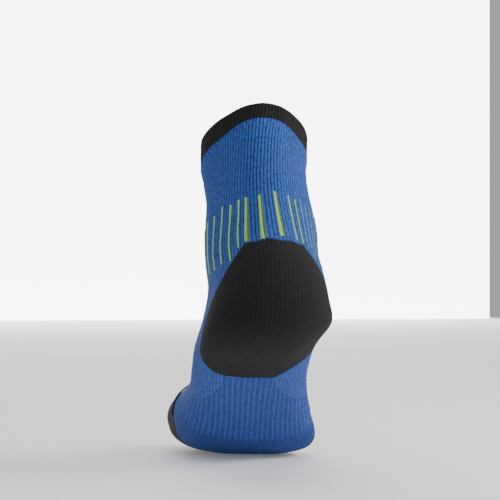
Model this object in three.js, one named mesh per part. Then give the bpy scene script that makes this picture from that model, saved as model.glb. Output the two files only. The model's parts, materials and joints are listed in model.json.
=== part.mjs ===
// A knitted quarter sock on the shape of a right foot with its heel raised.
// Millimetres, +Z up, toes toward +Y, little toe toward +X. The origin is the centre of the leg opening.
import * as THREE from 'three';

// ---------------------------------------------------------------- driving sizes
const soleReach = 226;     // back of the heel to the tip of the toes, along Y
const cuffHeight = 241;    // underside of the ball of the foot to the highest point of the cuff
const ballBreadth = 97;    // across the ball of the foot

const knit = 1.2;          // one layer of knit
const edgeGap = 0.3;       // clearance where two knitted zones meet

const weltLayer = 1.0;     // one layer of the folded welt
const weltHollow = 1.0;    // space inside the fold, where the elastic lies
const elasticSize = 0.44;  // elastic yarn, across
const elasticRows = 3;     // rings of elastic in each half of the welt

const stripeRise = 0.5;    // thickness of a stripe
const stripeFloat = 0.25;  // clearance under a stripe
const narrowStripe = 1.4;  // width of an ordinary stripe
const wideStripe = 2.6;    // width of a centre-back stripe at its top
const wideStripeFoot = 4.7; // and at its foot

const seamWidth = 2.2;     // linked seam across the toes
const seamRise = 0.9;

// ---------------------------------------------------------------- the foot shape
// Cross-sections from the cuff to the toes, drawn for a foot of these three sizes.
const pattern = { reach: 226, height: 241, breadth: 97 };

// Each section runs from a point on the back or the sole to a point on the shin or the instep.
//   back, front   those two points, as [y, z]
//   half, aside   half the width, and the shift of the whole section toward the little toe
//   widest        how far from back to front the widest place lies
//   square        roundness of the back and front halves: 2 is an ellipse, more is boxier
//   skew          y gained per millimetre toward the little toe
//   ridge         sideways shift of the front point
const stations = [
  { back: [71, 241], front: [142, 200], half: 34.8, aside: 2.5, widest: 0.5, square: [1.75, 2] },
  { back: [61, 221], front: [134, 179], half: 34.2, aside: 1, widest: 0.5, square: [1.75, 2] },
  { back: [50, 199], front: [127, 158], half: 34.2, aside: 1.5, widest: 0.5, square: [1.75, 2] },
  { back: [39, 176], front: [120, 134], half: 36.8, aside: 2, widest: 0.5, square: [1.75, 2] },
  { back: [26, 155], front: [115, 118], half: 36.5, aside: 1.2, widest: 0.48, square: [1.75, 2] },
  { back: [11, 137], front: [113, 110], half: 37, aside: 1.5, widest: 0.44, square: [1.9, 2] },
  { back: [2, 117], front: [114, 104], half: 38.5, aside: 0.5, widest: 0.38, square: [2.1, 2] },
  { back: [2, 99], front: [116, 99], half: 40.5, aside: -0.5, widest: 0.35, square: [2.2, 2] },
  { back: [14, 84], front: [119, 94], half: 38, aside: -4.5, widest: 0.36, square: [2.2, 2] },
  { back: [38, 70], front: [122, 88], half: 38, aside: -5, widest: 0.4, square: [2.2, 2] },
  { back: [70, 51], front: [128, 80], half: 38.5, aside: -2, widest: 0.44, square: [2.3, 2], ridge: -2 },
  { back: [100, 33], front: [138, 71], half: 40, aside: 2, widest: 0.44, square: [2.4, 2.1],
    skew: -0.05, ridge: -4 },
  { back: [128, 16], front: [153, 61], half: 44, aside: 6, widest: 0.42, square: [2.6, 2.3],
    skew: -0.1, ridge: -8 },
  { back: [150, 4], front: [170, 52], half: 48, aside: 9, widest: 0.42, square: [3, 2.5],
    skew: -0.2, ridge: -12 },
  { back: [174, 0], front: [187, 45], half: 48.3, aside: 9.5, widest: 0.44, square: [3, 2.6],
    skew: -0.25, ridge: -13 },
  { back: [196, 1], front: [202, 37], half: 44.5, aside: 5, widest: 0.46, square: [2.8, 2.6],
    skew: -0.25, ridge: -9 },
  { back: [214, 3], front: [217, 29], half: 33.5, aside: -2, widest: 0.48, square: [2.5, 2.4],
    skew: -0.2, ridge: -4 },
  { back: [226, 8], front: [226, 19], half: 17, aside: -6, widest: 0.5, square: [2.2, 2.2],
    skew: -0.15 },
];

// Places along the sock are counted in sections: 0 at the cuff edge, the last one at the toes.
const bandEdge = 0.6;       // lower edge of the black band
const weltEnd = 1.2;        // lower edge of the folded welt
const stripeTop = 2.8;
const heelTop = 4.2;        // the heel pouch starts
const heelCorner = 7.3;     // it is widest, at the ends of the gore lines
const heelEnd = 9.4;        // it ends and the sole starts
const soleFull = 11.2;      // the sole reaches its full width
const toeTip = stations.length - 1;

// Places round the sock are shares of a turn: 0 at the centre back or under the sole,
// 0.25 at the little-toe side, 0.5 at the centre front.
const heelTopHalf = 0.08;
const heelCornerHalf = 0.236;
const heelEndHalf = { inner: 0.1, outer: 0.045 };
const heelRound = { inner: 0.5, outer: 1 }; // 0.5 rounds the lower corner as an ellipse, 1 cuts it away more
const soleHalf = 0.25;
const wideStripePlaces = [-0.066, -0.03, 0.01];
// From the first stripe on, each step is the pitch, and the steps grow by twice the growth.
const innerStripes = { first: -0.089, pitch: -0.026, growth: -0.0025, count: 9 };
const outerStripes = { first: 0.047, pitch: 0.0215, growth: 0, count: 21 };

const around = 48;          // facets in a full turn
const step = 0.01;          // small step for slopes, in sections or shares of a turn

// ---------------------------------------------------------------- the surface
const reachScale = soleReach / pattern.reach;
const heightScale = cuffHeight / pattern.height;
const breadthScale = ballBreadth / pattern.breadth;

function stationValues(s) {
  return [
    s.back[0] * reachScale, s.back[1] * heightScale,
    s.front[0] * reachScale, s.front[1] * heightScale,
    s.half * breadthScale, s.aside * breadthScale,
    s.widest, s.square[0], s.square[1], s.skew ?? 0, s.ridge ?? 0,
  ];
}

const stationTable = stations.map(stationValues);

function catmullRom(a, b, c, d, f) {
  const slopeIn = (c - a) / 2;
  const slopeOut = (d - b) / 2;
  const f2 = f * f;
  const f3 = f2 * f;
  return b * (2 * f3 - 3 * f2 + 1) + c * (3 * f2 - 2 * f3) + slopeIn * (f3 - 2 * f2 + f)
    + slopeOut * (f3 - f2);
}

// The section's values at any place along the sock.
function sectionValues(t) {
  const last = stationTable.length - 1;
  const k = Math.min(Math.max(Math.floor(t), 0), last - 1);
  const pick = (i) => stationTable[Math.min(Math.max(i, 0), last)];
  return pick(k).map((b, n) => catmullRom(pick(k - 1)[n], b, pick(k + 1)[n], pick(k + 2)[n], t - k));
}

// One half of a section as points spaced evenly along its arc: depth from back to front, and width.
function evenArc(depthScale, depthAt, widthAt) {
  const fine = 64;
  const points = [];
  let run = 0;
  for (let i = 0; i <= fine; i += 1) {
    const angle = (i / fine) * (Math.PI / 2);
    const point = { depth: depthAt(angle), width: widthAt(angle) };
    const before = points[points.length - 1];
    if (before) {
      run += Math.hypot((point.depth - before.depth) * depthScale, point.width - before.width);
    }
    points.push({ ...point, run });
  }
  return (share) => {
    const wanted = share * run;
    const k = Math.max(1, points.findIndex((p) => p.run >= wanted - 1e-9));
    const f = (wanted - points[k - 1].run) / (points[k].run - points[k - 1].run);
    return {
      depth: points[k - 1].depth + f * (points[k].depth - points[k - 1].depth),
      width: points[k - 1].width + f * (points[k].width - points[k - 1].width),
    };
  };
}

const sectionCache = new Map();

function section(t) {
  if (sectionCache.has(t)) {
    return sectionCache.get(t);
  }
  const [backY, backZ, frontY, frontZ, half, aside, widest, squareBack, squareFront, skew, ridge] =
    sectionValues(t);
  const length = Math.hypot(frontY - backY, frontZ - backZ);
  const backArc = evenArc(
    length,
    (a) => widest * (1 - Math.cos(a) ** (2 / squareBack)),
    (a) => half * Math.sin(a) ** (2 / squareBack),
  );
  const frontArc = evenArc(
    length,
    (a) => widest + (1 - widest) * Math.sin(a) ** (2 / squareFront),
    (a) => half * Math.cos(a) ** (2 / squareFront),
  );
  const made = { backY, backZ, frontY, frontZ, aside, skew, ridge, backArc, frontArc };
  sectionCache.set(t, made);
  return made;
}

// The point of the outer surface at u round the sock and t along it.
function surface(u, t) {
  const s = section(t);
  const turn = u - Math.round(u);
  const share = Math.abs(turn) * 4;
  const { depth, width } = share <= 1 ? s.backArc(share) : s.frontArc(share - 1);
  const across = Math.sign(turn) * width;
  return new THREE.Vector3(
    s.aside + s.ridge * depth + across,
    s.backY + (s.frontY - s.backY) * depth + s.skew * across,
    s.backZ + (s.frontZ - s.backZ) * depth,
  );
}

function slopes(u, t) {
  const low = Math.max(t - step, 0);
  const high = Math.min(t + step, toeTip);
  const along = surface(u, high).sub(surface(u, low)).divideScalar(high - low);
  const round = surface(u + step, t).sub(surface(u - step, t)).divideScalar(2 * step);
  return { along, round };
}

// A point at a height above the surface, which is negative inside the sock.
function place(u, t, height) {
  const { along, round } = slopes(u, t);
  const outward = along.cross(round).normalize();
  return surface(u, t).addScaledVector(outward, height);
}

// The same place moved by a distance in millimetres along or round the sock.
const shiftAlong = (u, t, distance) => t + distance / slopes(u, t).along.length();
const shiftRound = (u, t, distance) => u + distance / slopes(u, t).round.length();

// ---------------------------------------------------------------- borders between the zones
// How far the heel pouch, and the sole below it, reach to one side of the centre back, as a share of a turn.
// The side is -1 for the big-toe side and 1 for the little-toe side, where the pouch is cut away more.
function zoneHalf(t, side) {
  const edge = side > 0 ? 'outer' : 'inner';
  const endHalf = heelEndHalf[edge];
  if (t <= heelCorner) {
    const rise = Math.max(t - heelTop, 0) / (heelCorner - heelTop);
    return heelTopHalf + (heelCornerHalf - heelTopHalf) * Math.sin((Math.PI / 2) * rise);
  }
  if (t <= heelEnd) {
    const fall = (t - heelCorner) / (heelEnd - heelCorner);
    return endHalf + (heelCornerHalf - endHalf) * (1 - fall * fall) ** heelRound[edge];
  }
  return endHalf + (soleHalf - endHalf) * THREE.MathUtils.smoothstep(t, heelEnd, soleFull);
}

// Where the toe cap starts: furthest forward under the sole, furthest back over the toes,
// and a little further back at the little-toe side than at the big-toe side.
function toeStart(u) {
  const turn = 2 * Math.PI * u;
  return 12.95 + 0.8 * Math.cos(turn) + 0.15 * Math.cos(2 * turn) - 0.3 * Math.sin(turn);
}

// ---------------------------------------------------------------- solids
function solid(vertices, faces) {
  const geometry = new THREE.BufferGeometry();
  geometry.setAttribute('position', new THREE.Float32BufferAttribute(vertices.flatMap((v) => v.toArray()), 3));
  geometry.setIndex(faces.flat());
  geometry.computeVertexNormals();
  return geometry;
}

// A layer between two skins. at(row, column, inside) gives a point of the outer or the inner skin.
// A ring joins its last column to its first; a closed end runs to the two tips, outer and inner.
function layer(rows, columns, at, { ring = false, tips = null } = {}) {
  const width = ring ? columns : columns + 1;
  const vertices = [];
  const faces = [];
  const index = (row, column, inside) => (inside * (rows + 1) + row) * width + (column % width);
  const quad = (a, b, c, d) => faces.push([a, b, c], [a, c, d]);

  for (const inside of [0, 1]) {
    for (let row = 0; row <= rows; row += 1) {
      for (let column = 0; column < width; column += 1) {
        vertices.push(at(row, column, inside));
      }
    }
  }
  for (let column = 0; column < columns; column += 1) {
    const next = column + 1;
    for (let row = 0; row < rows; row += 1) {
      quad(index(row, column, 0), index(row + 1, column, 0), index(row + 1, next, 0), index(row, next, 0));
      quad(index(row, column, 1), index(row, next, 1), index(row + 1, next, 1), index(row + 1, column, 1));
    }
    quad(index(0, column, 0), index(0, next, 0), index(0, next, 1), index(0, column, 1));
    if (tips) {
      const outerTip = 2 * (rows + 1) * width;
      faces.push([index(rows, column, 0), outerTip, index(rows, next, 0)]);
      faces.push([index(rows, column, 1), index(rows, next, 1), outerTip + 1]);
    } else {
      quad(index(rows, column, 0), index(rows, column, 1), index(rows, next, 1), index(rows, next, 0));
    }
  }
  if (!ring) {
    for (let row = 0; row < rows; row += 1) {
      quad(index(row, 0, 0), index(row, 0, 1), index(row + 1, 0, 1), index(row + 1, 0, 0));
      quad(index(row, columns, 0), index(row + 1, columns, 0), index(row + 1, columns, 1),
        index(row, columns, 1));
    }
  }
  return solid(tips ? [...vertices, ...tips] : vertices, faces);
}

// A ring with the same outline all the way round. outline(u) gives its corners as points.
function sweptRing(outline) {
  const vertices = [];
  const faces = [];
  for (let column = 0; column < around; column += 1) {
    vertices.push(...outline(column / around));
  }
  const corners = vertices.length / around;
  const index = (column, corner) => (column % around) * corners + (corner % corners);
  for (let column = 0; column < around; column += 1) {
    for (let corner = 0; corner < corners; corner += 1) {
      const a = index(column, corner);
      const b = index(column, corner + 1);
      const c = index(column + 1, corner + 1);
      const d = index(column + 1, corner);
      faces.push([a, b, c], [a, c, d]);
    }
  }
  return solid(vertices, faces);
}

// ---------------------------------------------------------------- the folded welt
const weltOuter = weltHollow / 2 + weltLayer;
const foldRound = weltLayer / 2;

// Half of the folded welt: two layers joined at its closed edge, with the hollow between them.
function weltHalf(closedEdge, openEdge) {
  const inward = Math.sign(openEdge - closedEdge);
  const corners = (u) => {
    const closed = (distance) => shiftAlong(u, closedEdge, inward * distance);
    const open = shiftAlong(u, openEdge, (-inward * edgeGap) / 2);
    return [
      place(u, closed(0), weltOuter - foldRound), place(u, closed(foldRound), weltOuter),
      place(u, open, weltOuter), place(u, open, weltHollow / 2),
      place(u, closed(weltLayer), weltHollow / 2), place(u, closed(weltLayer), -weltHollow / 2),
      place(u, open, -weltHollow / 2), place(u, open, -weltOuter),
      place(u, closed(foldRound), -weltOuter), place(u, closed(0), foldRound - weltOuter),
    ];
  };
  return sweptRing(inward > 0 ? corners : (u) => corners(u).reverse());
}

function elasticRing(t) {
  const half = elasticSize / 2;
  return sweptRing((u) => [
    place(u, t, half), place(u, shiftAlong(u, t, half), 0),
    place(u, t, -half), place(u, shiftAlong(u, t, -half), 0),
  ]);
}

// ---------------------------------------------------------------- the knitted zones
const skinHeight = (inside) => (inside ? -knit : 0);

function legTube() {
  const rows = 7;
  return layer(rows, around, (row, column, inside) => {
    const u = column / around;
    const first = shiftAlong(u, weltEnd, edgeGap);
    const last = shiftAlong(u, heelTop, -edgeGap / 2);
    return place(u, THREE.MathUtils.lerp(first, last, row / rows), skinHeight(inside));
  }, { ring: true });
}

const heelRows = 12;
const footRows = 8;

function heelPouch() {
  const columns = 16;
  return layer(heelRows, columns, (row, column, inside) => {
    const middle = THREE.MathUtils.lerp(heelTop, heelEnd, row / heelRows);
    const share = (2 * column) / columns - 1;
    const u = share * shiftRound(zoneHalf(middle, share), middle, -edgeGap / 2);
    const first = shiftAlong(u, heelTop, edgeGap / 2);
    const last = shiftAlong(u, heelEnd, -edgeGap / 2);
    return place(u, THREE.MathUtils.clamp(middle, first, last), skinHeight(inside));
  });
}

// A row of the foot, from the end of the heel at 0 to the toe cap at 1.
function footPlace(u, share) {
  const first = shiftAlong(u, heelEnd, edgeGap / 2);
  const last = shiftAlong(u, toeStart(u), -edgeGap / 2);
  return THREE.MathUtils.lerp(first, last, share);
}

const footHalf = (share, side) => zoneHalf(THREE.MathUtils.lerp(heelEnd, toeStart(soleHalf), share), side);

function sole() {
  const columns = 20;
  return layer(footRows, columns, (row, column, inside) => {
    const side = (2 * column) / columns - 1;
    const u = side * shiftRound(footHalf(row / footRows, side), heelEnd, -edgeGap / 2);
    return place(u, footPlace(u, row / footRows), skinHeight(inside));
  });
}

// The front of the ankle and the top of the foot, from one edge of the heel and sole to the other.
function instep() {
  const columns = 30;
  return layer(heelRows + footRows, columns, (row, column, inside) => {
    const byHeel = row <= heelRows;
    const middle = THREE.MathUtils.lerp(heelTop, heelEnd, row / heelRows);
    const footShare = (row - heelRows) / footRows;
    const edge = (side) => {
      const half = byHeel ? zoneHalf(middle, side) : footHalf(footShare, side);
      return shiftRound(half, byHeel ? middle : heelEnd, edgeGap / 2);
    };
    const u = THREE.MathUtils.lerp(edge(1), 1 - edge(-1), column / columns);
    const first = shiftAlong(u, heelTop, edgeGap / 2);
    const t = byHeel ? Math.max(middle, first) : footPlace(u, footShare);
    return place(u, t, skinHeight(inside));
  });
}

function toeCap() {
  const rows = 9;
  const tipBulge = 2;
  const centre = surface(0, toeTip).add(surface(0.5, toeTip)).multiplyScalar(0.5);
  const tip = (depth) => centre.clone().add(new THREE.Vector3(0, tipBulge - depth, 0));
  return layer(rows, around, (row, column, inside) => {
    const u = column / around;
    const first = shiftAlong(u, toeStart(u), edgeGap / 2);
    const t = THREE.MathUtils.lerp(first, toeTip, row / rows);
    return place(u, t, skinHeight(inside));
  }, { ring: true, tips: [tip(0), tip(knit)] });
}

function toeSeam() {
  const columns = 22;
  const end = 0.27;
  return layer(2, columns, (row, column, inside) => {
    const u = THREE.MathUtils.lerp(end, 1 - end, column / columns);
    const t = shiftAlong(u, toeStart(u), ((row - 1) * seamWidth) / 2);
    const crown = row === 1 ? seamRise : seamRise / 2;
    return place(u, t, stripeFloat + (inside ? 0 : crown));
  });
}

// ---------------------------------------------------------------- the stripes
// The wales spread toward the foot of the stripes, most at an eighth of a turn from the centre back.
const spread = 0.018;

function waleAt(line, share) {
  return line + spread * share * Math.sin(4 * Math.PI * (line + 0.04));
}

// Stripes over the heel pouch stop at its top edge; the others run past its corner.
function stripeFoot(line) {
  const overHeel = heelTop - 0.06;
  const beside = 4.75;
  const share = THREE.MathUtils.clamp((Math.abs(line) - heelTopHalf) / 0.04, 0, 1);
  return THREE.MathUtils.lerp(overHeel, beside, share);
}

function stripe(line, topWidth, footWidth) {
  const rows = 5;
  return layer(rows, 2, (row, column, inside) => {
    const share = row / rows;
    const t = THREE.MathUtils.lerp(stripeTop, stripeFoot(line), share);
    const width = THREE.MathUtils.lerp(topWidth, footWidth, share);
    const u = shiftRound(waleAt(line, share), t, ((column - 1) * width) / 2);
    return place(u, t, stripeFloat + (inside ? 0 : stripeRise));
  });
}

// ---------------------------------------------------------------- materials and assembly
const knitLook = { roughness: 0.92, metalness: 0 };
const blackKnit = () => new THREE.MeshStandardMaterial({ color: '#262528', ...knitLook });
const blueKnit = () => new THREE.MeshStandardMaterial({ color: '#325897', ...knitLook });
const limeKnit = () => new THREE.MeshStandardMaterial({ color: '#a7ce86', ...knitLook });
const elasticYarn = () => new THREE.MeshStandardMaterial({ color: '#e4e2da', roughness: 0.6, metalness: 0 });

const openingCentre = surface(0, 0).add(surface(0.5, 0)).multiplyScalar(0.5);
const sock = new THREE.Group();
sock.position.copy(openingCentre).negate();

function add(name, geometry, material) {
  const mesh = new THREE.Mesh(geometry, material);
  mesh.name = name;
  sock.add(mesh);
}

const twoDigits = (n) => String(n).padStart(2, '0');

function addElastics(first, edgeA, edgeB) {
  for (let i = 0; i < elasticRows; i += 1) {
    const t = THREE.MathUtils.lerp(edgeA, edgeB, (i + 1) / (elasticRows + 1));
    add(`welt_elastic_${first + i}`, elasticRing(t), elasticYarn());
  }
}

function addStripes(prefix, { first, pitch, growth, count }) {
  for (let i = 0; i < count; i += 1) {
    const line = first + i * pitch + i * (i - 1) * growth;
    add(`${prefix}_${twoDigits(i + 1)}`, stripe(line, narrowStripe, narrowStripe), limeKnit());
  }
}

add('welt_black_band', weltHalf(0, bandEdge), blackKnit());
add('welt_blue_band', weltHalf(weltEnd, bandEdge), blueKnit());
addElastics(1, 0, bandEdge);
addElastics(1 + elasticRows, bandEdge, weltEnd);
add('leg_tube', legTube(), blueKnit());
add('heel_pouch', heelPouch(), blackKnit());
add('instep', instep(), blueKnit());
add('sole', sole(), blueKnit());
add('toe_cap', toeCap(), blackKnit());
add('toe_seam', toeSeam(), blackKnit());
wideStripePlaces.forEach((line, i) => {
  add(`stripe_wide_${i + 1}`, stripe(line, wideStripe, wideStripeFoot), limeKnit());
});
addStripes('stripe_inner', innerStripes);
addStripes('stripe_outer', outerStripes);

export default new THREE.Group().add(sock);
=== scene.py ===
import json

import bpy
import numpy as np
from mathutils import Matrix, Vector

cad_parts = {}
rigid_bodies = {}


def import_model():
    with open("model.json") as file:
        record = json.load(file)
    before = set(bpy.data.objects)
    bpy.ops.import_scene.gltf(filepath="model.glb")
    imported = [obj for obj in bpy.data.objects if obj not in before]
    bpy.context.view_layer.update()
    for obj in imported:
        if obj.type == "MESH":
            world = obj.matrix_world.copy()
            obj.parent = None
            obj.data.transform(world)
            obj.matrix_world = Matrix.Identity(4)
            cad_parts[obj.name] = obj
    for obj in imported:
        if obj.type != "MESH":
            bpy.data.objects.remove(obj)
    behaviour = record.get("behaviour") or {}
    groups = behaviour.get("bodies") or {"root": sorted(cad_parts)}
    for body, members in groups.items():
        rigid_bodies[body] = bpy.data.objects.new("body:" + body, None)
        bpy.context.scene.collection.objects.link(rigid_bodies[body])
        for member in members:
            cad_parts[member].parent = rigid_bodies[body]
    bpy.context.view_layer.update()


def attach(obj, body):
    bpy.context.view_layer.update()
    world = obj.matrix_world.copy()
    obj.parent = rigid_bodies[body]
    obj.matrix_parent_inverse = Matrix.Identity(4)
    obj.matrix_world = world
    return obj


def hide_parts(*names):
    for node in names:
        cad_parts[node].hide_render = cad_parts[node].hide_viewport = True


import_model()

# ---------------------------------------------------------------- camera
CAMERA_TARGET = Vector((-0.0025, -0.0165, -0.0965))
CAMERA_TURN = np.radians(-10)
CAMERA_DISTANCE = 1.0

camera_data = bpy.data.cameras.new("camera")
camera_data.sensor_width = 36
camera_data.lens = 108
camera_data.shift_x = -0.01
camera_data.shift_y = 0.064
camera = bpy.data.objects.new("camera", camera_data)
bpy.context.scene.collection.objects.link(camera)
toward_camera = Vector((np.sin(CAMERA_TURN), -np.cos(CAMERA_TURN), 0))
camera.location = CAMERA_TARGET + CAMERA_DISTANCE * toward_camera
camera.rotation_mode = "QUATERNION"
camera.rotation_quaternion = (-toward_camera).to_track_quat("-Z", "Y")
bpy.context.scene.camera = camera

# ---------------------------------------------------------------- sizes
MM = 0.001
KNIT = 1.2 * MM            # one layer of knit
WELT_LAYER = 1.0 * MM      # one layer of the folded welt
WELT_HOLLOW = 1.0 * MM     # space inside the fold
RIBS_AROUND = 108          # knitted ribs in a full turn of the leg
SAMPLES_PER_RIB = 5
FINE_RIBS = 120            # ribs in a full turn under the ball and at the toes
SOLE_RIDGES = 60           # ridges in a full turn under the arch
SEAM_STITCHES = 150        # overcast stitches in a full turn
COURSES = 22               # drawn rows of stitches from one section to the next
RIB_RELIEF = 0.17 * MM     # half the depth of an ordinary rib
STRONG_RELIEF = 0.38 * MM  # and of a rib at the centre back
RIPPLE = 0.35 * MM         # soft unevenness of the blue knit
SOFT_RIPPLE = 0.25 * MM    # and of the heel, the toe cap and the welt
NARROW_STRIPE = 1.4 * MM   # on the big-toe side
THIN_STRIPE = 1.05 * MM    # on the little-toe side
WIDE_STRIPE = 2.4 * MM     # at the centre back, at the top
WIDE_STRIPE_FOOT = 4.6 * MM   # and at the foot
STRIPE_WALE = 2.2 * MM     # width of a wale drawn on a stripe

# The foot shape: the same cross-sections as the CAD part, in millimetres, from the cuff to the toes.
# back y, z; front y, z; half width; aside; widest; squareness back, front; skew; ridge
STATIONS = np.array([
    [71, 241, 142, 200, 34.8, 2.5, 0.5, 1.75, 2, 0, 0],
    [61, 221, 134, 179, 34.2, 1, 0.5, 1.75, 2, 0, 0],
    [50, 199, 127, 158, 34.2, 1.5, 0.5, 1.75, 2, 0, 0],
    [39, 176, 120, 134, 36.8, 2, 0.5, 1.75, 2, 0, 0],
    [26, 155, 115, 118, 36.5, 1.2, 0.48, 1.75, 2, 0, 0],
    [11, 137, 113, 110, 37, 1.5, 0.44, 1.9, 2, 0, 0],
    [2, 117, 114, 104, 38.5, 0.5, 0.38, 2.1, 2, 0, 0],
    [2, 99, 116, 99, 40.5, -0.5, 0.35, 2.2, 2, 0, 0],
    [14, 84, 119, 94, 38, -4.5, 0.36, 2.2, 2, 0, 0],
    [38, 70, 122, 88, 38, -5, 0.4, 2.2, 2, 0, 0],
    [70, 51, 128, 80, 38.5, -2, 0.44, 2.3, 2, 0, -2],
    [100, 33, 138, 71, 40, 2, 0.44, 2.4, 2.1, -0.05, -4],
    [128, 16, 153, 61, 44, 6, 0.42, 2.6, 2.3, -0.1, -8],
    [150, 4, 170, 52, 48, 9, 0.42, 3, 2.5, -0.2, -12],
    [174, 0, 187, 45, 48.3, 9.5, 0.44, 3, 2.6, -0.25, -13],
    [196, 1, 202, 37, 44.5, 5, 0.46, 2.8, 2.6, -0.25, -9],
    [214, 3, 217, 29, 33.5, -2, 0.48, 2.5, 2.4, -0.2, -4],
    [226, 8, 226, 19, 17, -6, 0.5, 2.2, 2.2, -0.15, 0],
], float)
OPENING_CENTRE = np.array([2.5, 106.5, 220.5])

# Places along the sock, counted in sections, and round it, in shares of a turn from the centre back.
BAND_EDGE, WELT_END = 0.6, 1.2
STRIPE_TOP, STRIPE_END = 2.8, 4.75
HEEL_TOP, HEEL_CORNER, HEEL_END = 4.2, 7.3, 9.4
SOLE_FULL = 11.2
RIDGES_END, RIB_CHANGE, FINE_START = 12.0, 12.15, 12.3   # the sole's ridges give way to fine ribs
WELT_LAP = 0.012           # how far the leg tube reaches up into the welt
TOE_START, TOE_UNDER, TOE_WAVE, TOE_LEAN = 12.95, 0.8, 0.15, 0.3
TOE_TIP = len(STATIONS) - 1
TOE_CLOSED = TOE_TIP + 0.985
TIP_BULGE = 2
HEEL_TOP_HALF, HEEL_CORNER_HALF, SOLE_HALF = 0.08, 0.236, 0.25
HEEL_END_INNER, HEEL_END_OUTER = 0.1, 0.045      # toward the big toe, and toward the little toe
HEEL_ROUND_INNER, HEEL_ROUND_OUTER = 0.5, 1.0    # 0.5 rounds the lower corner, 1 cuts it away more
WIDE_LINES = [-0.066, -0.03, 0.01]
INNER_LINES = [-0.089 - 0.026 * k - 0.0025 * k * (k - 1) for k in range(9)]
OUTER_LINES = [0.047 + 0.0215 * k for k in range(21)]


def smooth(x, low, high):
    """0 up to low and 1 from high, with an even start and end."""
    f = np.clip((x - low) / (high - low), 0, 1)
    return f * f * (3 - 2 * f)


# ---------------------------------------------------------------- the surface
def section_values(t):
    """The section's values at each place t, by a Catmull-Rom curve through the stations."""
    k = np.clip(np.floor(t).astype(int), 0, TOE_TIP - 1)
    f = (t - k)[..., None]
    a, b, c, d = (STATIONS[np.clip(k + n, 0, TOE_TIP)] for n in (-1, 0, 1, 2))
    slope_in, slope_out = (c - a) / 2, (d - b) / 2
    rise = b * (2 * f**3 - 3 * f**2 + 1) + c * (3 * f**2 - 2 * f**3)
    return rise + slope_in * (f**3 - 2 * f**2 + f) + slope_out * (f**3 - f**2)


ROWS_PER_SECTION = 16      # rows of the arc tables from one section to the next
ARC_ROWS = ROWS_PER_SECTION * TOE_TIP + 1
ARC_STEPS = 96             # even steps along a back or a front arc
ARC_SAMPLES = 400          # points an arc is measured by


def arc_tables():
    """Depth and width round half a section, at even steps along its back and its front arc."""
    values = section_values(np.linspace(0, TOE_TIP, ARC_ROWS))
    depth = np.zeros((ARC_ROWS, 2 * ARC_STEPS + 1))
    width = np.zeros_like(depth)
    angle = np.linspace(0, np.pi / 2, ARC_SAMPLES)
    for row, (by, bz, fy, fz, half, _, widest, square_back, square_front, _, _) in enumerate(values):
        length = np.hypot(fy - by, fz - bz)
        back = (
            widest * (1 - np.cos(angle) ** (2 / square_back)),
            half * np.sin(angle) ** (2 / square_back),
        )
        front = (
            widest + (1 - widest) * np.sin(angle) ** (2 / square_front),
            half * np.abs(np.cos(angle)) ** (2 / square_front),
        )
        for part, (d, w) in enumerate((back, front)):
            run = np.r_[0, np.cumsum(np.hypot(np.diff(d) * length, np.diff(w)))]
            even = np.linspace(0, run[-1], ARC_STEPS + 1)
            place = slice(part * ARC_STEPS, (part + 1) * ARC_STEPS + 1)
            depth[row, place] = np.interp(even, run, d)
            width[row, place] = np.interp(even, run, w)
    return depth, width


ARC_DEPTH, ARC_WIDTH = arc_tables()


def look_up(table, row, column):
    """Values between the rows and columns of a table."""
    r = np.clip(np.floor(row).astype(int), 0, table.shape[0] - 2)
    c = np.clip(np.floor(column).astype(int), 0, table.shape[1] - 2)
    fr, fc = row - r, column - c
    upper = table[r, c] * (1 - fc) + table[r, c + 1] * fc
    lower = table[r + 1, c] * (1 - fc) + table[r + 1, c + 1] * fc
    return upper * (1 - fr) + lower * fr


def surface(u, t):
    """Points of the plain outer surface, in metres. Past the last section it closes in a low dome."""
    past = np.clip(t - TOE_TIP, 0, 1)[..., None]
    closing = np.pi / 2 * past
    t = np.clip(t, 0, TOE_TIP)
    by, bz, fy, fz, _, aside, _, _, _, skew, ridge = np.moveaxis(section_values(t), -1, 0)
    turn = u - np.round(u)
    row, column = t * ROWS_PER_SECTION, np.abs(turn) * 4 * ARC_STEPS
    depth = look_up(ARC_DEPTH, row, column)
    across = np.sign(turn) * look_up(ARC_WIDTH, row, column)
    x = aside + ridge * depth + across
    y = by + (fy - by) * depth + skew * across
    z = bz + (fz - bz) * depth
    points = np.stack([x, y, z], -1)
    middle = np.stack([aside + ridge / 2, (by + fy) / 2, (bz + fz) / 2], -1)
    points = middle + (points - middle) * np.cos(closing)
    points[..., 1:2] += TIP_BULGE * np.sin(closing)
    return (points - OPENING_CENTRE) * MM


def outward(u, t):
    """Unit vectors out of the plain surface."""
    du, dt = 0.004, 0.04
    along = surface(u, np.clip(t + dt, 0, TOE_CLOSED)) - surface(u, np.clip(t - dt, 0, TOE_CLOSED))
    across = surface(u + du, t) - surface(u - du, t)
    normal = np.cross(along, across)
    return normal / np.linalg.norm(normal, axis=-1, keepdims=True)


def turn_length(t):
    """The girth of the sock at each t, in metres."""
    points_round, rings = 97, 86
    u = np.linspace(-0.5, 0.5, points_round)
    rows = np.linspace(0, TOE_TIP, rings)
    ring = surface(u[None, :] + 0 * rows[:, None], rows[:, None] + 0 * u[None, :])
    girth = np.linalg.norm(np.diff(ring, axis=1), axis=-1).sum(1)
    return np.interp(t, rows, girth)


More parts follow.
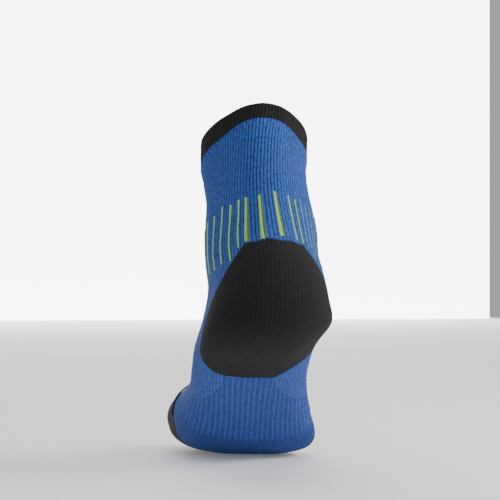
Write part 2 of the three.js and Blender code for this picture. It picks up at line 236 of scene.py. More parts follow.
# ---------------------------------------------------------------- borders and wales
def zone_half(t, side):
    """How far the heel pouch, then the sole, reach on one side, as a share of a turn. side is -1 or 1."""
    end_half = np.where(side > 0, HEEL_END_OUTER, HEEL_END_INNER)
    power = np.where(side > 0, HEEL_ROUND_OUTER, HEEL_ROUND_INNER)
    rise = np.clip((t - HEEL_TOP) / (HEEL_CORNER - HEEL_TOP), 0, 1)
    fall = np.clip((t - HEEL_CORNER) / (HEEL_END - HEEL_CORNER), 0, 1)
    upper = HEEL_TOP_HALF + (HEEL_CORNER_HALF - HEEL_TOP_HALF) * np.sin(np.pi / 2 * rise)
    lower = end_half + (HEEL_CORNER_HALF - end_half) * (1 - fall**2) ** power
    half = np.where(t > HEEL_CORNER, lower, upper)
    return half + (SOLE_HALF - end_half) * smooth(t, HEEL_END, SOLE_FULL)


def toe_start(u):
    """Where the toe cap begins: nearer the tip under the sole, further back on the little-toe side."""
    turn = 2 * np.pi * u
    level = TOE_START + TOE_UNDER * np.cos(turn) + TOE_WAVE * np.cos(2 * turn)
    return level - TOE_LEAN * np.sin(turn)


def wale(line, t):
    """Where at t the wale lies that passes through line at the stripes' tops.

    It turns toward the cuff, and spreads below.
    """
    twist = 0.03 * (1 - smooth(t, 0, STRIPE_TOP))
    spread = 0.018 * smooth(t, STRIPE_TOP, HEEL_TOP) * np.sin(4 * np.pi * (line + 0.04))
    return line + twist + spread


def ripple(u, t):
    """Soft unevenness of stretched knit, from -1 to 1."""
    waves = ((3, 0.9, 0.2), (5, 1.7, 1.9), (8, 0.6, 4.1), (13, 2.3, 2.6), (2, 3.1, 5.3))
    total = sum(np.sin(2 * np.pi * (a * u + b * t / 4) + c) for a, b, c in waves)
    return total / len(waves)


def scatter(values):
    """A fixed share from 0 to 1 for each value, with no pattern to see."""
    return np.abs(np.sin(values * 12.9898 + 4.1) * 43758.5453) % 1


def rib(phase):
    """A rounded rib with a narrow groove beside it, from -1 to 1."""
    return 2 * np.abs(np.sin(np.pi * phase)) ** 0.8 - 1


# ---------------------------------------------------------------- meshes
def quads(rows, columns, wrap, flip, first=0):
    """Corner indices of a grid of quads, with the grid place of each corner."""
    width = columns if wrap else columns + 1
    r, c = np.meshgrid(np.arange(rows), np.arange(columns), indexing="ij")
    corners = [(r, c), (r + 1, c), (r + 1, c + 1), (r, c + 1)]
    if flip:
        corners.reverse()
    index = [first + a * width + (b % width) for a, b in corners]
    place = [np.stack([a, b], -1).reshape(-1, 2) for a, b in corners]
    return np.stack([i.ravel() for i in index], 1), np.stack(place, 1)


SHARP_ANGLE = np.radians(70)

# Where a layer lies in its bake UVs: its outer skin on top, its inner skin below, its walls at the bottom.
BAKE_MARGIN, BAKE_WIDTH = 0.004, 0.992
BAKE_OUTER, BAKE_INNER = (0.36, 0.996), (0.03, 0.33)
BAKE_TOP_WALL, BAKE_BOTTOM_WALL, BAKE_LEFT_WALL, BAKE_RIGHT_WALL = 0.002, 0.009, 0.016, 0.022
BAKE_WALL_HEIGHT = 0.004
BAKE_SHARE = 0.96          # of its column that each of several joined layers fills


def make_mesh(name, points, faces, knit_uv, bake_uv, material):
    """A smooth mesh with stitch UVs and bake UVs, sharp where it turns by more than SHARP_ANGLE."""
    mesh = bpy.data.meshes.new(name)
    mesh.from_pydata(points.tolist(), [], faces.tolist())
    for layer, values in (("knit", knit_uv), ("OFBake", bake_uv)):
        mesh.uv_layers.new(name=layer).data.foreach_set("uv", np.asarray(values, np.float32).ravel())
    mesh.polygons.foreach_set("use_smooth", np.ones(len(faces), bool))
    mesh.materials.append(material)
    mesh.update()
    mesh.set_sharp_from_angle(angle=SHARP_ANGLE)
    obj = bpy.data.objects.new(name, mesh)
    bpy.context.scene.collection.objects.link(obj)
    return obj


def layer_arrays(u, t, wales, courses, outer, inner, ring):
    """A closed layer of knit over a grid of places. A ring's last column is its first one again."""
    rows, columns = u.shape[0] - 1, u.shape[1] - 1
    base, normal = surface(u, t), outward(u, t)
    keep = slice(0, columns if ring else columns + 1)
    skins = [(base + normal * h[..., None])[:, keep].reshape(-1, 3) for h in (outer, inner)]
    count = len(skins[0])
    faces, knit_uv, bake_uv = [], [], []

    def add_skin(first, flip, low, high):
        index, place = quads(rows, columns, ring, flip, first)
        faces.append(index)
        r, c = place[..., 0], place[..., 1]
        knit_uv.append(np.stack([wales[r, c], courses[r, c]], -1))
        across = BAKE_MARGIN + BAKE_WIDTH * c / columns
        bake_uv.append(np.stack([across, high - (high - low) * r / rows], -1))

    add_skin(0, False, *BAKE_OUTER)
    add_skin(count, True, *BAKE_INNER)
    width = columns if ring else columns + 1

    def add_wall(outer_line, grid_place, low):
        """A wall along one edge, from the outer skin to the inner one."""
        a, b = outer_line[:-1], outer_line[1:]
        faces.append(np.stack([a, b, b + count, a + count], 1))
        pa, pb = grid_place[:-1], grid_place[1:]
        place = np.stack([pa, pb, pb, pa], 1)
        r, c = place[..., 0], place[..., 1]
        knit_uv.append(np.stack([wales[r, c], courses[r, c]], -1))
        share = np.linspace(0, 1, len(outer_line))
        span = np.stack([share[:-1], share[1:], share[1:], share[:-1]], 1)
        high = low + BAKE_WALL_HEIGHT
        height = np.broadcast_to([low, low, high, high], span.shape)
        bake_uv.append(np.stack([BAKE_MARGIN + BAKE_WIDTH * span, height], -1))

    c, r = np.arange(columns + 1), np.arange(rows + 1)
    top = np.stack([0 * c, c], 1)
    bottom = np.stack([0 * c + rows, c], 1)
    add_wall(c % width, top, BAKE_TOP_WALL)
    add_wall((rows * width + c % width)[::-1], bottom[::-1], BAKE_BOTTOM_WALL)
    if not ring:
        left, right = np.stack([r, 0 * r], 1), np.stack([r, 0 * r + columns], 1)
        add_wall((r * width)[::-1], left[::-1], BAKE_LEFT_WALL)
        add_wall(r * width + columns, right, BAKE_RIGHT_WALL)
    return {
        "points": np.concatenate(skins),
        "faces": np.concatenate(faces),
        "knit_uv": np.concatenate(knit_uv),
        "bake_uv": np.concatenate(bake_uv),
    }


def knit_layer(name, u, t, wales, courses, outer, inner, ring, material):
    """One closed layer of knit as an object. outer and inner are heights over the plain surface."""
    made = layer_arrays(u, t, wales, courses, outer, inner, ring)
    return make_mesh(name, *made.values(), material)


# ---------------------------------------------------------------- materials
class Graph:
    """A short way to write a material's nodes."""

    def __init__(self, name, roughness, sheen):
        self.material = bpy.data.materials.new(name)
        self.material.use_nodes = True
        self.nodes = self.material.node_tree.nodes
        self.links = self.material.node_tree.links
        self.shader = self.nodes["Principled BSDF"]
        self.shader.inputs["Roughness"].default_value = roughness
        self.shader.inputs["Sheen Weight"].default_value = sheen
        self.shader.inputs["Sheen Roughness"].default_value = 0.5
        self.shader.inputs["Specular IOR Level"].default_value = 0.25

    def put(self, socket, value):
        if isinstance(value, bpy.types.NodeSocket):
            self.links.new(value, socket)
        else:
            socket.default_value = value

    def math(self, operation, a, b=0.0):
        node = self.nodes.new("ShaderNodeMath")
        node.operation = operation
        self.put(node.inputs[0], a)
        self.put(node.inputs[1], b)
        return node.outputs[0]

    def wale_and_course(self):
        uv = self.nodes.new("ShaderNodeUVMap")
        uv.uv_map = "knit"
        split = self.nodes.new("ShaderNodeSeparateXYZ")
        self.links.new(uv.outputs[0], split.inputs[0])
        return split.outputs[0], split.outputs[1]

    def noise(self, x, y, scale, detail):
        join = self.nodes.new("ShaderNodeCombineXYZ")
        self.put(join.inputs[0], x)
        self.put(join.inputs[1], y)
        node = self.nodes.new("ShaderNodeTexNoise")
        self.links.new(join.outputs[0], node.inputs["Vector"])
        node.inputs["Scale"].default_value = scale
        node.inputs["Detail"].default_value = detail
        return node.outputs[0]

    def ramp(self, value, low, high):
        node = self.nodes.new("ShaderNodeMapRange")
        node.interpolation_type = "SMOOTHSTEP"
        self.put(node.inputs["Value"], value)
        node.inputs["From Min"].default_value = low
        node.inputs["From Max"].default_value = high
        return node.outputs[0]

    def mix(self, share, a, b):
        node = self.nodes.new("ShaderNodeMix")
        node.data_type = "RGBA"
        self.put(node.inputs["Factor"], share)
        self.put(node.inputs["A"], a)
        self.put(node.inputs["B"], b)
        return node.outputs["Result"]

    def bump(self, height, distance, strength):
        node = self.nodes.new("ShaderNodeBump")
        node.inputs["Distance"].default_value = distance
        node.inputs["Strength"].default_value = strength
        self.put(node.inputs["Height"], height)
        self.links.new(node.outputs[0], self.shader.inputs["Normal"])


def srgb(red, green, blue):
    """A colour given as it looks on a screen, 0 to 255."""
    values = np.array([red, green, blue]) / 255
    linear = np.where(values <= 0.04045, values / 12.92, ((values + 0.055) / 1.055) ** 2.4)
    return (*linear.tolist(), 1.0)


def knit_material(
    name, plain, deep_shade_and_blotch, bright, fleck, relief=1.0, wales_per_rib=2.0, crest_highlight=0.3, blotch=0.35,
    flecks=0.36, sheen=0.08, groove_shade=0.6,
):
    """Rows of V stitches on ribs: yarn with melange blotches, bright fibres and flecks; painted shade in
    grooves and between loops; painted highlight on crests and loop tops.
    """
    g = Graph(name, 0.85, sheen)
    x, y = g.wale_and_course()
    fine = g.math("MULTIPLY", x, wales_per_rib)
    off_centre = g.math("ABSOLUTE", g.math("SUBTRACT", g.math("FRACT", fine), 0.5))
    leg = g.math("ADD", y, g.math("MULTIPLY", off_centre, 1.3))
    loop = g.math("ABSOLUTE", g.math("SINE", g.math("MULTIPLY", leg, np.pi)))
    between = g.ramp(off_centre, 0.3, 0.5)
    stitch = g.math("MULTIPLY", loop, g.math("SUBTRACT", 1.0, g.math("MULTIPLY", between, 0.8)))
    off_rib = g.math("ABSOLUTE", g.math("SUBTRACT", g.math("FRACT", x), 0.5))
    groove = g.ramp(off_rib, 0.26, 0.5)
    melange = g.noise(g.math("MULTIPLY", x, 0.9), g.math("MULTIPLY", y, 0.3), 1.3, 5.0)
    fibre = g.noise(g.math("MULTIPLY", x, 5.0), g.math("MULTIPLY", y, 2.2), 1.3, 3.0)
    # Painted shade: darker in the grooves between ribs and between the loops. The melange blotches added in
    # are the yarn's own colour.
    shade_and_blotch = g.math("MULTIPLY", groove, groove_shade)
    shade_and_blotch = g.math("ADD", shade_and_blotch, g.math("MULTIPLY", g.ramp(melange, 0.44, 0.64), blotch))
    shade_and_blotch = g.math("ADD", shade_and_blotch, g.math("MULTIPLY", g.math("SUBTRACT", 1.0, stitch), 0.35))
    colour = g.mix(shade_and_blotch, plain, deep_shade_and_blotch)
    # Painted highlight: a lighter line on each rib's crest, and bright fibres on the loop tops, partly the
    # yarn's own and partly painted highlight.
    on_crest = g.math("SUBTRACT", 1.0, g.ramp(off_rib, 0.03, 0.17))
    light = g.math("MULTIPLY", stitch, g.ramp(fibre, 0.45, 0.62))
    painted_crest_highlight = g.math("MULTIPLY", g.math("MULTIPLY", on_crest, g.ramp(fibre, 0.35, 0.55)), crest_highlight)
    colour = g.mix(g.math("ADD", g.math("MULTIPLY", light, 0.6), painted_crest_highlight), colour, bright)
    speckle = g.noise(g.math("MULTIPLY", x, 2.1), g.math("MULTIPLY", y, 1.1), 1.9, 1.0)
    spark = g.ramp(speckle, 1 - flecks, 1.1 - flecks)
    colour = g.mix(g.math("MULTIPLY", spark, 0.8), colour, fleck)
    g.links.new(colour, g.shader.inputs["Base Color"])
    g.bump(g.math("ADD", stitch, g.math("MULTIPLY", fibre, 0.6)), 0.35 * MM * relief, 1.0)
    return g.material


BLUE = knit_material(
    "blue_rib_knit", srgb(28, 84, 192), srgb(5, 20, 78), srgb(92, 158, 252), srgb(124, 180, 250), blotch=0.6
)
# The sole's knit is darker than the leg's: painted shade for the underside of the foot.
SHADED_SOLE_BLUE = knit_material(
    "blue_sole_painted_shade_knit", srgb(20, 68, 168), srgb(5, 22, 86), srgb(88, 150, 244), srgb(5, 22, 86),
    wales_per_rib=3.0, blotch=0.5, flecks=0.38, groove_shade=0.25,
)
BLACK = knit_material(
    "black_rib_knit", srgb(21, 20, 23), srgb(12, 11, 13), srgb(48, 46, 46), srgb(62, 60, 52),
    relief=0.6, crest_highlight=0.2, blotch=0.3, sheen=0.03,
)
LIME = knit_material(
    "lime_stripe_knit", srgb(188, 255, 134), srgb(118, 206, 98), srgb(232, 255, 190), srgb(70, 140, 100),
    wales_per_rib=1.0, crest_highlight=0.5, flecks=0.34,
)
# The shaded side of the wide stripes: a darker copy of the lime knit, painted shade.
LIME_PAINTED_SHADE = knit_material(
    "lime_stripe_shaded_knit", srgb(122, 190, 84), srgb(24, 62, 80), srgb(206, 250, 160), srgb(20, 50, 110),
    wales_per_rib=1.0, blotch=0.8, flecks=0.5,
)
PALE_LIME = knit_material(
    "pale_lime_stripe_knit", srgb(160, 226, 190), srgb(46, 100, 176), srgb(220, 250, 210), srgb(40, 92, 176),
    wales_per_rib=1.0, blotch=0.9, flecks=0.5,
)


def elastic_material():
    """Pale yarn wrapped round an elastic core."""
    g = Graph("covered_elastic", 0.6, 0.1)
    wrap = g.nodes.new("ShaderNodeTexWave")
    wrap.inputs["Scale"].default_value = 900
    wrap.inputs["Distortion"].default_value = 1.5
    colour = g.mix(wrap.outputs[1], srgb(232, 230, 222), srgb(188, 186, 178))
    g.links.new(colour, g.shader.inputs["Base Color"])
    g.bump(wrap.outputs[1], 0.05 * MM, 0.8)
    return g.material


# ---------------------------------------------------------------- relief of the knit
LINE_REACH = 1.3           # past the furthest place of the instep
LINE_STEPS = 5201
LINE_TABLE = np.linspace(-LINE_REACH, LINE_REACH, LINE_STEPS)
TURN_TABLE = wale(LINE_TABLE, HEEL_END)


def line_of(u):
    """The wale that passes through u below the stripes."""
    return np.interp(u, TURN_TABLE, LINE_TABLE)


def centre_back(line):
    """1 in the panel of stronger ribs at the centre back, 0 beside it."""
    return 1 - smooth(np.abs(line + 0.023), 0.04, 0.06)


def blue_relief(line, t):
    """Height of the blue knit over the plain surface."""
    turn = line - np.round(line)
    lower = smooth(t, 3.9, 4.8)
    depth = RIB_RELIEF * (1 - 0.35 * smooth(turn, 0.04, 0.16)) * (1 - 0.6 * lower)
    strong = (STRONG_RELIEF - RIB_RELIEF) * centre_back(turn) * (1 - 0.5 * smooth(t, 2.5, 3.1))
    uneven = 0.75 + 0.4 * scatter(np.floor(line * RIBS_AROUND))
    return (depth + strong) * uneven * rib(line * RIBS_AROUND) + RIPPLE * ripple(line, t)


def heel_edge(line):
    """The saw-toothed top edge of the heel pouch, one tooth to a rib."""
    teeth = 0.075 * np.abs(2 * ((line * RIBS_AROUND) % 1) - 1)
    return HEEL_TOP + teeth + 0.03 * np.sin(47 * line) + 0.025 * np.sin(131 * line + 1)


def zone_edge(t, side):
    """The side border of the heel and sole, stepped by a stitch every few courses."""
    step = np.abs(2 * ((t * 9) % 1) - 1) * (1 - smooth(t, HEEL_END - 0.3, HEEL_END))
    return zone_half(t, side) + 0.0012 * step


def grid(first, last, count):
    """Rows of places from one border to another."""
    return np.linspace(0, 1, count)[:, None] * (last - first) + first


# ---------------------------------------------------------------- the zones
def finish_piece(obj, nodes):
    """Says what a sheet of knit rides on and replaces."""
    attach(obj, "root")
    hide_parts(*nodes)


def leg_tube():
    """The blue leg, from just inside the welt down to the toothed edge over the heel and the instep."""
    rows, columns = 64, RIBS_AROUND * SAMPLES_PER_RIB
    line = np.linspace(-0.5, 0.5, columns + 1)[None, :]
    t = grid(np.full_like(line, WELT_END - WELT_LAP), heel_edge(line), rows)
    line = line + 0 * t
    outer = blue_relief(line, t) + 0.35 * MM * (1 - smooth(t, WELT_END, WELT_END + 0.5))
    inner = -KNIT - 0.4 * outer
    u, wales = wale(line, t), line * RIBS_AROUND
    obj = knit_layer("leg_tube_knit", u, t, wales, t * COURSES, outer, inner, True, BLUE)
    finish_piece(obj, ["leg_tube"])


def heel_pouch():
    """The black heel, with ribs that fade toward its sides and its lower end."""
    columns, rows = 270, 130
    share = np.linspace(-1, 1, columns + 1)[None, :]
    middle = np.linspace(HEEL_TOP, HEEL_END, rows)[:, None]
    u = share * zone_edge(middle, share)
    line = line_of(u)
    t = np.maximum(middle, heel_edge(line)) + 0 * u
    turn_in = 1 - smooth(np.abs(share), 0.985, 1)
    middle_ribs = (1 - smooth(np.abs(share), 0.35, 0.8)) * (1 - smooth(t, 8.3, 8.8))
    outer = 0.09 * MM * (0.25 + middle_ribs) * rib(line * RIBS_AROUND)
    outer = (outer + SOFT_RIPPLE * ripple(u, t)) * (0.4 + 0.6 * turn_in)
    inner = -KNIT + 0 * outer
    obj = knit_layer("heel_pouch_knit", u, t, line * RIBS_AROUND, t * COURSES, outer, inner, False, BLACK)
    finish_piece(obj, ["heel_pouch"])


FOOT_ROWS = 96


def foot_rows(side):
    """Rows of the foot from heel to toe cap: their share of the way, and the sole's reach to a side."""
    share = np.linspace(0, 1, FOOT_ROWS)[:, None]
    return share, zone_half(HEEL_END + (toe_start(SOLE_HALF) - HEEL_END) * share, side)


def sole_ribs(line, t):
    """Wide-set ridges under the arch that close up to fine ribs under the ball."""
    ridge = (0.5 - 0.5 * np.cos(2 * np.pi * line * SOLE_RIDGES)) ** 5
    fine = rib(line * FINE_RIBS)
    forward = smooth(t, RIDGES_END, FINE_START)
    edge = 1 - smooth(np.abs(line), 0.2, 0.25)
    return ((1 - forward) * 0.26 * MM * (ridge - 0.25) + forward * 0.2 * MM * fine) * edge


def sole():
    """The ribbed sole, from the heel to the toe cap."""
    columns = 300
    side = np.linspace(-1, 1, columns + 1)[None, :]
    share, half = foot_rows(side)
    u = side * half
    t = HEEL_END + (toe_start(u) - HEEL_END) * share
    outer = sole_ribs(u, t) + 0.3 * MM * ripple(u, t)
    inner = -KNIT + 0 * outer
    wales = u * np.where(t > RIB_CHANGE, FINE_RIBS, SOLE_RIDGES)
    obj = knit_layer("sole_knit", u, t, wales, t * COURSES, outer, inner, False, SHADED_SOLE_BLUE)
    finish_piece(obj, ["sole"])


def instep():
    """The front of the ankle, the sides and the top of the foot, in one layer from side to side."""
    rows_beside_heel, columns = 116, 380
    across = np.linspace(0, 1, columns + 1)[None, :]
    beside = np.linspace(HEEL_TOP, HEEL_END, rows_beside_heel)[:-1, None]
    edges = []
    for side in (1, -1):
        share, half = foot_rows(side)
        edges.append(np.concatenate([zone_edge(beside, side), half]))
    u = edges[0] + (1 - edges[1] - edges[0]) * across
    line = line_of(u)
    upper = np.maximum(beside, heel_edge(line[: len(beside)]))
    foot = HEEL_END + (toe_start(u[len(beside):]) - HEEL_END) * share
    t = np.concatenate([upper, foot])
    outer = blue_relief(line, t)
    crease = 0.9 * MM * np.exp(-(((t - 6.6) / 1.1) ** 2)) * np.sin(9 * t + 3 * np.sin(6 * u))
    outer += crease * smooth(across, 0.25, 0.45) * (1 - smooth(across, 0.55, 0.75))
    inner = -KNIT + 0 * outer
    obj = knit_layer("instep_knit", u, t, line * RIBS_AROUND, t * COURSES, outer, inner, False, BLUE)
    finish_piece(obj, ["instep"])


def toe_cap():
    """The black toe pocket, closed at the tip."""
    rows, columns = 84, 480
    u = np.linspace(-0.5, 0.5, columns + 1)[None, :]
    t = grid(toe_start(u), TOE_CLOSED + 0 * u, rows)
    u = u + 0 * t
    tip = smooth(t, 16, 17)
    outer = 0.1 * MM * rib(u * FINE_RIBS) * (1 - tip) + SOFT_RIPPLE * ripple(u, t) * (1 - tip)
    inner = -KNIT + 0 * outer
    obj = knit_layer("toe_cap_knit", u, t, u * FINE_RIBS, t * COURSES, outer, inner, True, BLACK)
    finish_piece(obj, ["toe_cap"])


# ---------------------------------------------------------------- the folded welt
FOLD = WELT_LAYER + WELT_HOLLOW / 2      # from the middle of the fold to its faces


def fold_profile(closed, opening, edges):
    """Places t and offsets round one half of the folded welt.

    They run along the outside to the fold, back along the inside, and then round the hollow.
    """
    step = 1 if opening > closed else -1
    reach = 0.07           # length of the rounded fold
    run = np.linspace(opening, closed + step * reach, edges)
    turn = np.linspace(0, np.pi, 15)
    fold_t = closed + step * reach * (1 - np.sin(turn))
    outside = [(t, FOLD) for t in run] + list(zip(fold_t[1:-1], FOLD * np.cos(turn[1:-1])))
    outside += [(t, -FOLD) for t in run[::-1]]
    hollow = WELT_HOLLOW / 2
    inside = [(t, -hollow) for t in run[::3]] + [(t, hollow) for t in run[::-3]]
    return np.array(outside + inside)


def welt_relief(line, t, black):
    """Ribs of the welt, with the short slanting gathers of the blue knit under the black band."""
    strong = 0.6 + 0.4 * centre_back(line - np.round(line))
    ribs = 0.3 * MM * strong * rib(line * RIBS_AROUND)
    if black:
        return ribs * smooth(t, 0, 0.12) + SOFT_RIPPLE * ripple(line, 3 * t)
    gather = 0.5 + 0.5 * np.cos(2 * np.pi * (line * RIBS_AROUND / 2 + 5 * t))
    under = smooth(t, BAND_EDGE, 0.66) * (1 - smooth(t, 0.7, 0.85))
    return ribs * (1 - 0.5 * under) + 0.9 * MM * (gather - 0.5) * under + SOFT_RIPPLE * ripple(line, t)


def curved_band(u, t):
    """Moves the edge between the two bands down at the sides of the sock, and keeps the folds in place."""
    aside = np.abs(u - np.round(u))
    lower = 0.2 * smooth(aside, 0.03, 0.15)
    dip = 0.1 * smooth(aside, 0.04, 0.12) * (1 - smooth(aside, 0.18, 0.3))
    black = dip + t * (1 + (lower - dip) / BAND_EDGE)
    blue = WELT_END - (WELT_END - t) * (1 - lower / (WELT_END - BAND_EDGE))
    return np.where(t < BAND_EDGE, black, blue)


def fold_ring(name, profile, black, nodes, material):
    """A closed ring swept along the welt, with ribs on its outer and inner faces."""
    columns = RIBS_AROUND * SAMPLES_PER_RIB
    line = np.linspace(-0.5, 0.5, columns + 1)[None, :]
    t = np.concatenate([profile[:, :1], profile[:1, :1]]) + 0 * line
    height = np.concatenate([profile[:, 1:], profile[:1, 1:]]) + 0 * line
    line = line + 0 * t
    u = wale(line, t)
    skin = smooth(np.abs(height), WELT_HOLLOW / 2, FOLD) * np.sign(height)
    if not black:          # its outer face sinks toward the leg at its lower edge
        sink = smooth(t, BAND_EDGE + 0.15, WELT_END - 0.05) * (height > WELT_HOLLOW / 2)
        height = height - 0.95 * MM * sink
    height = height + welt_relief(line, t, black) * np.where(skin > 0, skin, 0.4 * skin)
    t = curved_band(u, t)
    base, normal = surface(u, t), outward(u, t)
    points = (base + normal * height[..., None])[:-1, :-1].reshape(-1, 3)
    rows = len(profile)
    r, c = (a.ravel() for a in np.meshgrid(np.arange(rows), np.arange(columns), indexing="ij"))
    corners = [(r, c), (r, c + 1), (r + 1, c + 1), (r + 1, c)]
    if profile[0, 0] < profile[1, 0]:
        corners.reverse()
    faces = np.stack([(a % rows) * columns + b % columns for a, b in corners], 1)
    place_r, place_c = np.stack([a for a, _ in corners], 1), np.stack([b for _, b in corners], 1)
    run = np.cumsum(np.r_[0, np.hypot(np.diff(t[:, 0]) * COURSES, np.diff(height[:, 0]) / MM)])
    knit_uv = np.stack([line[place_r, place_c] * RIBS_AROUND, run[place_r]], -1)
    across = BAKE_MARGIN + BAKE_WIDTH * place_c / columns
    along = BAKE_MARGIN + BAKE_WIDTH * run[place_r] / run[-1]
    bake_uv = np.stack([across, along], -1)
    obj = make_mesh(name, points, faces, knit_uv, bake_uv, material)
    finish_piece(obj, nodes)


def welt():
    """The two halves of the cuff, a small gap apart."""
    gap, edges = 0.004, 34
    black = fold_profile(0, BAND_EDGE - gap, edges)
    fold_ring("welt_black_knit", black, True, ["welt_black_band"], BLACK)
    blue = fold_profile(WELT_END, BAND_EDGE + gap, edges)
    fold_ring("welt_blue_knit", blue, False, ["welt_blue_band"], BLUE)


# ---------------------------------------------------------------- stripes and seam
def join_layers(name, parts, material):
    """One piece from several closed layers, side by side in one material."""
    points, faces, knit_uv, bake_uv = [], [], [], []
    first = 0
    for k, mesh in enumerate(parts):
        points.append(mesh["points"])
        faces.append(mesh["faces"] + first)
        knit_uv.append(mesh["knit_uv"])
        low = np.array([k / len(parts), 0])
        bake_uv.append(low + mesh["bake_uv"] * [BAKE_SHARE / len(parts), 1])
        first += len(mesh["points"])
    joined = (np.concatenate(a) for a in (points, faces, knit_uv, bake_uv))
    return make_mesh(name, *joined, material)


def stripe_end(line):
    """Where a stripe ends: just over the heel, or lower down beside it."""
    over_heel = HEEL_TOP - 0.05
    return over_heel + (STRIPE_END - over_heel) * np.clip((abs(line) - HEEL_TOP_HALF) / 0.04, 0, 1)


def stripe_layer(line, top_width, foot_width, seed, low=-1.0, high=1.0):
    """One stripe, or the part of its width from low to high, raised above the ribs, with ragged edges."""
    rows, columns, loop_count = 84, 8, 42
    share = np.linspace(0, 1, rows + 1)[:, None]
    t = STRIPE_TOP + 0.05 * np.sin(seed * 2.4) + (stripe_end(line) - STRIPE_TOP) * share
    across = np.linspace(-1, 1, columns + 1)[None, :]
    head = 1 + 0.25 * np.exp(-((share / 0.03) ** 2))
    width = (top_width + (foot_width - top_width) * share) * head
    loops = share * loop_count
    row = np.round(loops * 2)
    ragged = 0.3 * MM * (scatter(row + 57 * seed) - 0.5), 0.3 * MM * (scatter(row + 91 * seed + 7) - 0.5)
    left = low * width / 2 + ragged[0]
    right = high * width / 2 + ragged[1]
    u = wale(line, t) + ((left + right) / 2 + across * (right - left) / 2) / turn_length(t)
    t = t + 0 * u
    bead = 0.1 * MM * np.abs(np.sin(np.pi * (loops + 0.5 * np.abs(across))))
    crown = 0.3 * MM * (1 - np.abs(across) ** 3)
    relief = blue_relief(wale_line(line, u, t), t)
    inner = 0.5 * relief + 0.02 * MM + 0 * u
    outer = 0.5 * relief + 0.16 * MM + crown + bead
    wales = across * width / STRIPE_WALE + 0.5 + seed + 0 * u
    return layer_arrays(u, t, wales, loops + 0 * u, outer, inner, False)


def wale_line(line, u, t):
    """The line of the wale at each point near a stripe."""
    return line + (u - wale(line, t))


def stripes():
    """All the stripes. Wide ones have a shaded side; little-toe ones are paler, but for two."""
    shaded_from, shade_gap, bright_outer = 0.25, 0.04, 2
    wide, narrow, thin = (WIDE_STRIPE, WIDE_STRIPE_FOOT), (NARROW_STRIPE,) * 2, (THIN_STRIPE,) * 2
    sets = (
        ("stripes_wide_knit", "stripe_wide", WIDE_LINES, wide, 1, LIME_PAINTED_SHADE, len(WIDE_LINES)),
        ("stripes_inner_knit", "stripe_inner", INNER_LINES, narrow, 2, None, len(INNER_LINES)),
        ("stripes_outer_knit", "stripe_outer", OUTER_LINES, thin, 2, PALE_LIME, bright_outer),
    )
    for name, node, lines, widths, digits, second_knit, bright_count in sets:
        split = shaded_from if second_knit is LIME_PAINTED_SHADE else 1.0
        parts = [stripe_layer(line, *widths, k, -1, split) for k, line in enumerate(lines)]
        if split < 1:
            parts += [stripe_layer(line, *widths, k + 3, split + shade_gap) for k, line in enumerate(lines)]
        bright_faces = sum(len(part["faces"]) for part in parts[:bright_count])
        obj = join_layers(name, parts, LIME)
        if second_knit:
            obj.data.materials.append(second_knit)
        index = np.arange(len(obj.data.polygons)) >= bright_faces
        obj.data.polygons.foreach_set("material_index", index.astype(np.int32))
        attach(obj, "root")
        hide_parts(*[f"{node}_{k + 1:0{digits}d}" for k in range(len(lines))])


def toe_seam():
    """The linked seam over the toes: a raised cord of overcast stitches."""
    rows, columns = 10, 420
    u = np.linspace(0.27, 0.73, columns + 1)[None, :]
    across = np.linspace(-1, 1, rows + 1)[:, None]
    stitch = 0.5 + 0.5 * np.cos(2 * np.pi * (u * SEAM_STITCHES + 0.25 * across))
    t = toe_start(u) + across * 0.06 * (1 + 0.12 * stitch)
    u = u + 0 * t
    inner = 0.2 * MM + 0 * u
    outer = inner + (0.35 + 0.6 * (1 - across**2) + 0.22 * stitch * (1 - across**4)) * MM
    wales, courses = u * SEAM_STITCHES, across * 2 + 0 * u
    obj = knit_layer("toe_seam_cord", u, t, wales, courses, outer, inner, False, BLACK)
    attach(obj, "root")
    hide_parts("toe_seam")


# ---------------------------------------------------------------- the sock
welt()
stripes()
leg_tube()
heel_pouch()
instep()
sole()
toe_seam()
toe_cap()

ELASTIC = elastic_material()
for obj in bpy.data.objects:
    if obj.type == "MESH" and "elastic" in obj.name:
        obj.data.materials.clear()
        obj.data.materials.append(ELASTIC)
        obj.data.polygons.foreach_set("use_smooth", np.ones(len(obj.data.polygons), bool))


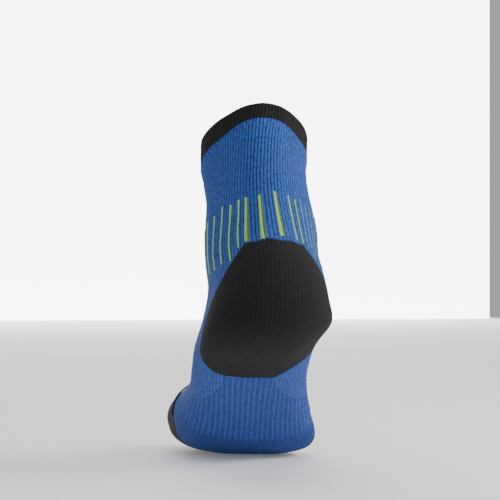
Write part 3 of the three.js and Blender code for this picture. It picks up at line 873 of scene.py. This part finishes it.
# ---------------------------------------------------------------- floor and light
FLOOR_HEIGHT = -0.2207     # just under the lowest of the knit's CAD shape
FLOOR_GLOW, WALL_GLOW, WORLD_LIGHT = 0.12, 6.0, 0.42
WHITE = (1, 1, 1, 1)


def area_light(name, place, size, power):
    """A square white light that faces the sock."""
    data = bpy.data.lights.new(name, "AREA")
    data.shape = "SQUARE"
    data.size = size
    data.energy = power
    light = bpy.data.objects.new(name, data)
    bpy.context.scene.collection.objects.link(light)
    light.location = place
    light.rotation_mode = "QUATERNION"
    light.rotation_quaternion = (CAMERA_TARGET - Vector(place)).to_track_quat("-Z", "Y")


def stage_sheet(name, corners, material_name, roughness, colour, glow):
    """A flat sheet of the studio, with some light of its own."""
    mesh = bpy.data.meshes.new(name)
    mesh.from_pydata(corners, [], [(0, 1, 2, 3)])
    g = Graph(material_name, roughness, 0.0)
    g.shader.inputs["Base Color"].default_value = colour
    g.shader.inputs["Emission Color"].default_value = WHITE
    g.shader.inputs["Emission Strength"].default_value = glow
    mesh.materials.append(g.material)
    obj = bpy.data.objects.new(name, mesh)
    bpy.context.scene.collection.objects.link(obj)


def floor():
    """Pale paper under the sock."""
    half, z = 4.0, FLOOR_HEIGHT
    corners = [(-half, -half, z), (half, -half, z), (half, half, z), (-half, half, z)]
    stage_sheet("floor", corners, "floor_paper", 0.9, (0.93, 0.93, 0.93, 1), FLOOR_GLOW)


def backdrop():
    """A bright wall far behind the sock."""
    half, far, low, high = 1.5, 3.9, -0.3, 2.2
    corners = [(-half, far, low), (half, far, low), (half, far, high), (-half, far, high)]
    stage_sheet("backdrop", corners, "backdrop_light", 1.0, WHITE, WALL_GLOW)


floor()
backdrop()
area_light("key", (1.5, -0.6, 0.8), 0.8, 28)
area_light("fill", (-0.3, -1.6, 0.6), 1.2, 4)
area_light("top", (0.1, 0.2, 1.6), 1.2, 7)

world = bpy.data.worlds.new("studio")
world.use_nodes = True
world.node_tree.nodes["Background"].inputs["Color"].default_value = WHITE
world.node_tree.nodes["Background"].inputs["Strength"].default_value = WORLD_LIGHT
bpy.context.scene.world = world
